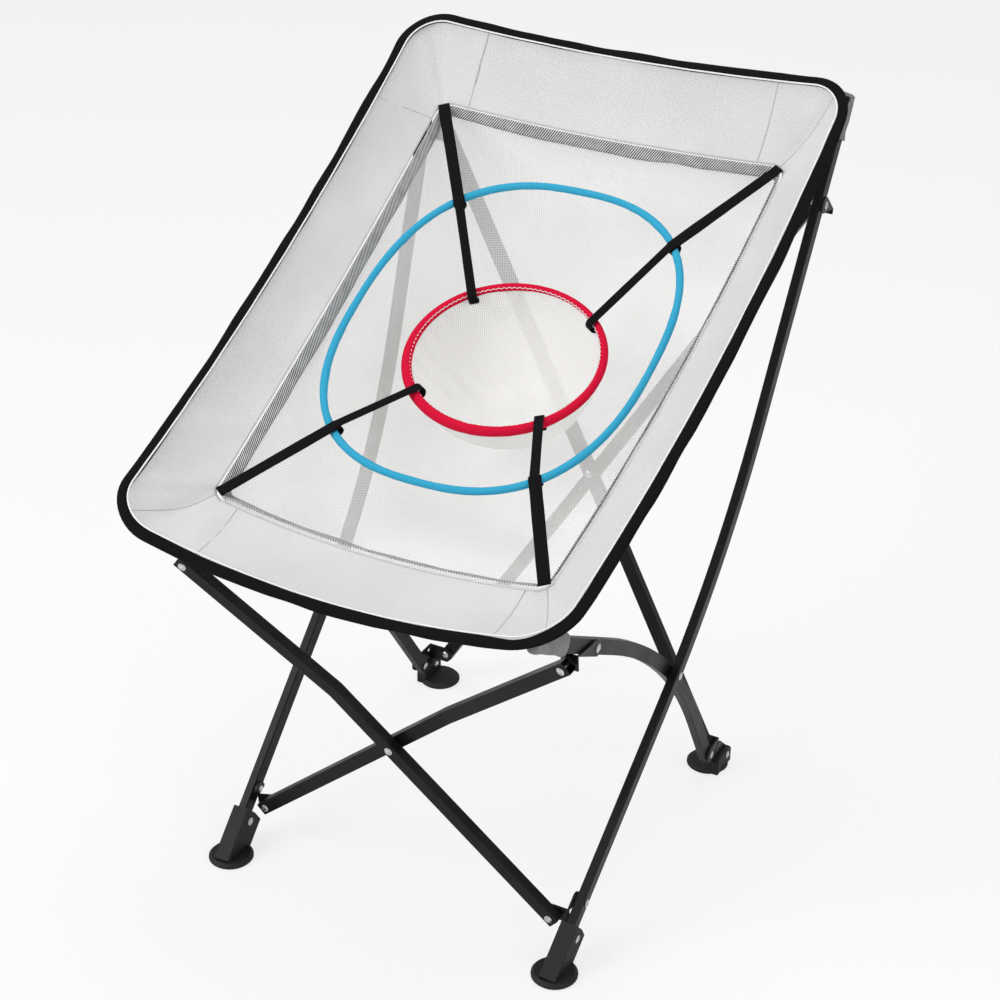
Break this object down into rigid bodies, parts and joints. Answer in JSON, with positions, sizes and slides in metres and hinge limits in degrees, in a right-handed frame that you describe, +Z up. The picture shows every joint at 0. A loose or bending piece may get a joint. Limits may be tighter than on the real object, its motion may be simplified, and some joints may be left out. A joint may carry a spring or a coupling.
{
  "type": "golf chipping net",
  "caption": "Folding target net for golf chip shots: a sloping fabric tray with concentric hoops over a mesh pocket, on a crossed tubular stand.",
  "frame": {"origin": "on the ground, below the middle of the whole width and depth", "axes": "+X to the right as seen from the front, +Y to the back, +Z up"},
  "size_m": [0.542, 0.6633, 0.8331],
  "materials": {
    "tube": "satin black powder coat",
    "bracket": "black paint",
    "rivet": "bright steel",
    "foot": "matt black moulded plastic",
    "binding": "black woven tape",
    "border_cloth": "light grey woven cloth",
    "mesh_cloth": "white fine mesh",
    "blue_cloth": "blue cloth tube",
    "red_cloth": "red cloth tube",
    "grey_cloth": "grey cloth"
  },
  "bodies": {
    "right_pole": {"long_pole_right": "tube", "front_foot_right": "foot", "front_foot_rivet_right": "rivet", "upper_pocket_right": "grey_cloth", "side_pivot_rivet_right": "rivet", "rim_binding": "binding", "fabric_border": "border_cloth", "pocket_bag": "mesh_cloth", "outer_hoop": "blue_cloth", "inner_hoop": "red_cloth", "inner_cup_net": "mesh_cloth", "strap_top_right": "binding", "strap_top_left": "binding", "strap_bottom_right": "binding", "strap_bottom_left": "binding"},
    "left_pole": {"long_pole_left": "tube", "front_foot_left": "foot", "front_foot_rivet_left": "rivet", "upper_pocket_left": "grey_cloth", "side_pivot_rivet_left": "rivet"},
    "side_tube_right": {"side_tube_right": "tube", "lower_pocket_right": "grey_cloth"},
    "side_tube_left": {"side_tube_left": "tube", "lower_pocket_left": "grey_cloth"},
    "front_bracket_right": {"front_lower_bracket_right": "bracket", "front_lower_cross_rivet_right": "rivet"},
    "front_bracket_left": {"front_lower_bracket_left": "bracket", "front_lower_cross_rivet_left": "rivet"},
    "front_bar_right": {"front_bar_right_low": "tube", "front_lower_bar_rivet_right": "rivet", "front_hub_bar_rivet_left": "rivet", "front_pivot_rivet": "rivet"},
    "front_bar_left": {"front_bar_left_low": "tube", "front_lower_bar_rivet_left": "rivet", "front_hub_bar_rivet_right": "rivet"},
    "hub_bracket_right": {"front_hub_bracket_right": "bracket", "front_hub_cross_rivet_right": "rivet"},
    "hub_bracket_left": {"front_hub_bracket_left": "bracket", "front_hub_cross_rivet_left": "rivet"},
    "rear_foot_right": {"rear_foot_right": "foot", "rear_lower_bracket_right": "bracket", "rear_lower_cross_rivet_right": "rivet", "rear_foot_rivet_right": "rivet"},
    "rear_foot_left": {"rear_foot_left": "foot", "rear_lower_bracket_left": "bracket", "rear_lower_cross_rivet_left": "rivet", "rear_foot_rivet_left": "rivet"},
    "back_bar_right": {"back_bar_right_low": "tube", "rear_lower_bar_rivet_right": "rivet", "rear_top_bar_rivet_left": "rivet", "back_pivot_rivet_front": "rivet"},
    "back_bar_left": {"back_bar_left_low": "tube", "rear_lower_bar_rivet_left": "rivet", "rear_top_bar_rivet_right": "rivet", "back_pivot_rivet_rear": "rivet"},
    "top_bracket_right": {"rear_top_bracket_right": "bracket", "rear_top_cross_rivet_right": "rivet"},
    "top_bracket_left": {"rear_top_bracket_left": "bracket", "rear_top_cross_rivet_left": "rivet"}
  },
  "joints": [
    {"name": "front_scissor", "type": "hinge", "parent": "front_bar_right", "child": "front_bar_left", "pos_m": [0, -0.19287, 0.21003], "axis": [0, -0.994, -0.1097], "range_deg": [0, 76], "deforming": ["rim_binding", "fabric_border", "pocket_bag", "outer_hoop", "inner_hoop", "inner_cup_net", "strap_top_right", "strap_top_left", "strap_bottom_right", "strap_bottom_left"]},
    {"name": "front_foot_bracket_right", "type": "hinge", "parent": "right_pole", "child": "front_bracket_right", "pos_m": [0.20742, -0.1597, 0.0611], "axis": [1, 0, 0], "range_deg": [-34.24, 0]},
    {"name": "front_bar_right_foot", "type": "hinge", "parent": "front_bracket_right", "child": "front_bar_right", "pos_m": [0.183, -0.1752, 0.05], "axis": [0, -0.994, -0.1097], "range_deg": [-41.81, 0]},
    {"name": "front_bar_left_foot", "type": "hinge", "parent": "front_bar_left", "child": "front_bracket_left", "pos_m": [-0.183, -0.1752, 0.05], "axis": [0, -0.994, -0.1097], "range_deg": [-41.81, 0]},
    {"name": "front_foot_bracket_left", "type": "hinge", "parent": "front_bracket_left", "child": "left_pole", "pos_m": [-0.20742, -0.1597, 0.0611], "axis": [1, 0, 0], "range_deg": [0, 34.24]},
    {"name": "side_pivot_right", "type": "hinge", "parent": "right_pole", "child": "side_tube_right", "pos_m": [0.20667, 0.0318, 0.24123], "axis": [0.9984, 0, -0.0558], "range_deg": [-66.62, 0]},
    {"name": "side_pivot_left", "type": "hinge", "parent": "left_pole", "child": "side_tube_left", "pos_m": [-0.20667, 0.0318, 0.24123], "axis": [0.9984, 0, 0.0558], "range_deg": [-66.62, 0]},
    {"name": "rear_foot_right_tilt", "type": "hinge", "parent": "side_tube_right", "child": "rear_foot_right", "pos_m": [0.19523, 0.1888, 0.03655], "axis": [1, 0, 0], "range_deg": [0, 45.49]},
    {"name": "rear_foot_left_tilt", "type": "hinge", "parent": "side_tube_left", "child": "rear_foot_left", "pos_m": [-0.19523, 0.1888, 0.03655], "axis": [1, 0, 0], "range_deg": [0, 45.49]},
    {"name": "back_bar_right_foot", "type": "hinge", "parent": "rear_foot_right", "child": "back_bar_right", "pos_m": [0.18, 0.2228, 0.038], "axis": [0, -0.9918, 0.128], "range_deg": [-28.77, 0]},
    {"name": "back_bar_left_foot", "type": "hinge", "parent": "rear_foot_left", "child": "back_bar_left", "pos_m": [-0.18, 0.2228, 0.038], "axis": [0, -0.9918, 0.128], "range_deg": [0, 28.77]},
    {"name": "hub_bracket_right_tilt", "type": "hinge", "parent": "side_tube_right", "child": "hub_bracket_right", "pos_m": [0.21504, -0.1822, 0.39099], "axis": [1, 0, 0], "range_deg": [0, 32.88]},
    {"name": "hub_bracket_left_tilt", "type": "hinge", "parent": "side_tube_left", "child": "hub_bracket_left", "pos_m": [-0.21504, -0.1822, 0.39099], "axis": [1, 0, 0], "range_deg": [0, 32.88]},
    {"name": "top_bracket_right_tilt", "type": "hinge", "parent": "right_pole", "child": "top_bracket_right", "pos_m": [0.24344, 0.278, 0.7054], "axis": [1, 0, 0], "range_deg": [-21.63, 0]},
    {"name": "top_bracket_left_tilt", "type": "hinge", "parent": "left_pole", "child": "top_bracket_left", "pos_m": [-0.24344, 0.278, 0.7054], "axis": [1, 0, 0], "range_deg": [-21.63, 0]}
  ],
  "couplings": [
    {"joint": "front_foot_bracket_right", "follows": "front_scissor", "ratio": -0.444},
    {"joint": "front_bar_right_foot", "follows": "front_scissor", "ratio": -0.5435},
    {"joint": "front_bar_left_foot", "follows": "front_scissor", "ratio": -0.5435},
    {"joint": "front_foot_bracket_left", "follows": "front_scissor", "ratio": 0.444},
    {"joint": "side_pivot_right", "follows": "front_scissor", "ratio": -0.87},
    {"joint": "side_pivot_left", "follows": "front_scissor", "ratio": -0.87},
    {"joint": "rear_foot_right_tilt", "follows": "front_scissor", "ratio": 0.592},
    {"joint": "rear_foot_left_tilt", "follows": "front_scissor", "ratio": 0.592},
    {"joint": "back_bar_right_foot", "follows": "front_scissor", "ratio": -0.372},
    {"joint": "back_bar_left_foot", "follows": "front_scissor", "ratio": 0.372},
    {"joint": "hub_bracket_right_tilt", "follows": "front_scissor", "ratio": 0.426},
    {"joint": "hub_bracket_left_tilt", "follows": "front_scissor", "ratio": 0.426},
    {"joint": "top_bracket_right_tilt", "follows": "front_scissor", "ratio": -0.278},
    {"joint": "top_bracket_left_tilt", "follows": "front_scissor", "ratio": -0.278}
  ]
}
